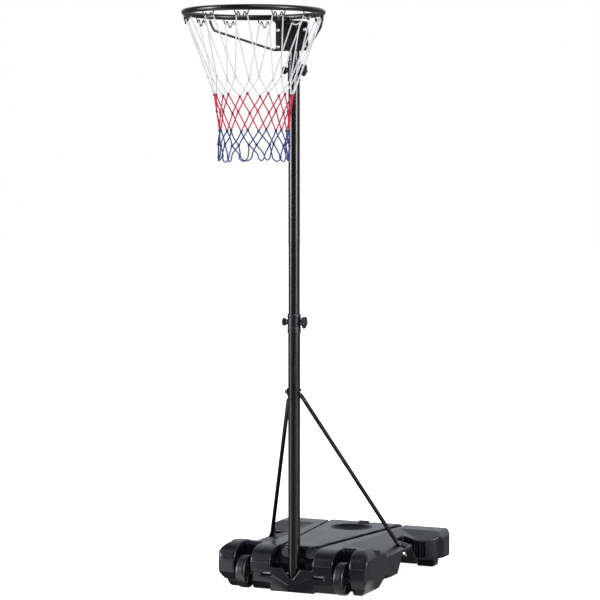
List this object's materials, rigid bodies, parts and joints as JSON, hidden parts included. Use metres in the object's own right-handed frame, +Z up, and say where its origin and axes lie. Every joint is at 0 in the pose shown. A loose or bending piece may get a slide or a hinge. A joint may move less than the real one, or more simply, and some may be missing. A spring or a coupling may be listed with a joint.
{
  "type": "netball post",
  "caption": "Portable netball post: a ring with knotted net on braces, telescopic steel pole with clamp knobs, side struts, wheeled ballast base",
  "frame": {"origin": "where the pole's axis meets the floor, straight under the wheel axle, on the flat underside of the base's front sill", "axes": "+Z up along the pole; -Y forward, towards the ring; +Y back along the base; +X right, along the wheel axle, seen from behind the ring looking back at the pole"},
  "size_m": [0.6, 1.1017, 1.73],
  "materials": {
    "tank_plastic": "black blow-moulded polyethylene, fine satin grain",
    "moulded_plastic": "black injection-moulded plastic, satin",
    "wheel_plastic": "black hard plastic wheel, lightly scuffed satin tread",
    "black_steel": "black powder coat on steel, semi-gloss",
    "zinc_steel": "bright zinc-plated steel",
    "white_cord": "white braided cord",
    "red_cord": "red braided cord",
    "blue_cord": "blue braided cord"
  },
  "bodies": {
    "base": {"base_tank": "tank_plastic", "wheel_axle": "zinc_steel", "lower_pole": "black_steel", "pole_foot_plug": "moulded_plastic", "lower_collar": "moulded_plastic", "strut_right": "black_steel", "strut_left": "black_steel", "strut_top_bolt": "zinc_steel", "strut_top_washer": "zinc_steel", "strut_top_nut": "black_steel", "strut_foot_bolt_left": "black_steel", "strut_wing_nut_left": "zinc_steel", "strut_foot_bolt_right": "black_steel", "strut_wing_nut_right": "zinc_steel"},
    "mid_section": {"mid_pole": "black_steel", "mid_pole_bush": "moulded_plastic", "upper_collar": "moulded_plastic"},
    "top_section": {"top_pole": "black_steel", "top_pole_bush": "moulded_plastic", "pole_top_cap": "moulded_plastic", "ring": "black_steel", "ring_bracket": "black_steel", "pole_clamp": "black_steel", "brace_right": "black_steel", "brace_left": "black_steel", "net_white": "white_cord", "net_red": "red_cord", "net_blue": "blue_cord", "bracket_bolt_1": "zinc_steel", "bracket_nut_1": "zinc_steel", "bracket_bolt_2": "zinc_steel", "bracket_nut_2": "zinc_steel", "bracket_bolt_3": "zinc_steel", "bracket_nut_3": "zinc_steel", "bracket_bolt_4": "zinc_steel", "bracket_nut_4": "zinc_steel"},
    "wheel_left": {"wheel_left": "wheel_plastic"},
    "wheel_right": {"wheel_right": "wheel_plastic"},
    "lower_star_knob": {"lower_star_knob": "moulded_plastic"},
    "lower_round_knob": {"lower_round_knob": "moulded_plastic"},
    "upper_star_knob": {"upper_star_knob": "moulded_plastic"},
    "upper_round_knob": {"upper_round_knob": "moulded_plastic"},
    "filler_cap_left": {"filler_cap_left": "moulded_plastic"},
    "filler_cap_right": {"filler_cap_right": "moulded_plastic"},
    "drain_plug": {"drain_plug": "moulded_plastic"}
  },
  "joints": [
    {"name": "wheel_left_spin", "type": "hinge", "parent": "base", "child": "wheel_left", "pos_m": [-0.1605, 0, 0.051], "axis": [1, 0, 0], "continuous": true},
    {"name": "wheel_right_spin", "type": "hinge", "parent": "base", "child": "wheel_right", "pos_m": [0.1605, 0, 0.051], "axis": [1, 0, 0], "continuous": true},
    {"name": "mid_slide", "type": "slide", "parent": "base", "child": "mid_section", "axis": [0, 0, 1], "range_m": [0, 0.12]},
    {"name": "top_slide", "type": "slide", "parent": "mid_section", "child": "top_section", "axis": [0, 0, 1], "range_m": [0, 0.6]},
    {"name": "lower_star_knob_turn", "type": "hinge", "parent": "base", "child": "lower_star_knob", "pos_m": [0.03, 0, 0.818], "axis": [1, 0, 0], "continuous": true},
    {"name": "lower_round_knob_turn", "type": "hinge", "parent": "base", "child": "lower_round_knob", "pos_m": [-0.03, 0, 0.818], "axis": [-1, 0, 0], "continuous": true},
    {"name": "upper_star_knob_turn", "type": "hinge", "parent": "mid_section", "child": "upper_star_knob", "pos_m": [0.03, 0, 1.572], "axis": [1, 0, 0], "continuous": true},
    {"name": "upper_round_knob_turn", "type": "hinge", "parent": "mid_section", "child": "upper_round_knob", "pos_m": [-0.03, 0, 1.572], "axis": [-1, 0, 0], "continuous": true},
    {"name": "filler_cap_left_turn", "type": "hinge", "parent": "base", "child": "filler_cap_left", "pos_m": [-0.04, 0.0505, 0.11], "axis": [0, -0.7071, 0.7071], "continuous": true},
    {"name": "filler_cap_right_turn", "type": "hinge", "parent": "base", "child": "filler_cap_right", "pos_m": [0.04, 0.0505, 0.11], "axis": [0, -0.7071, 0.7071], "continuous": true},
    {"name": "drain_plug_turn", "type": "hinge", "parent": "base", "child": "drain_plug", "pos_m": [0, 0.571, 0.12], "axis": [0, 0, 1], "continuous": true}
  ]
}
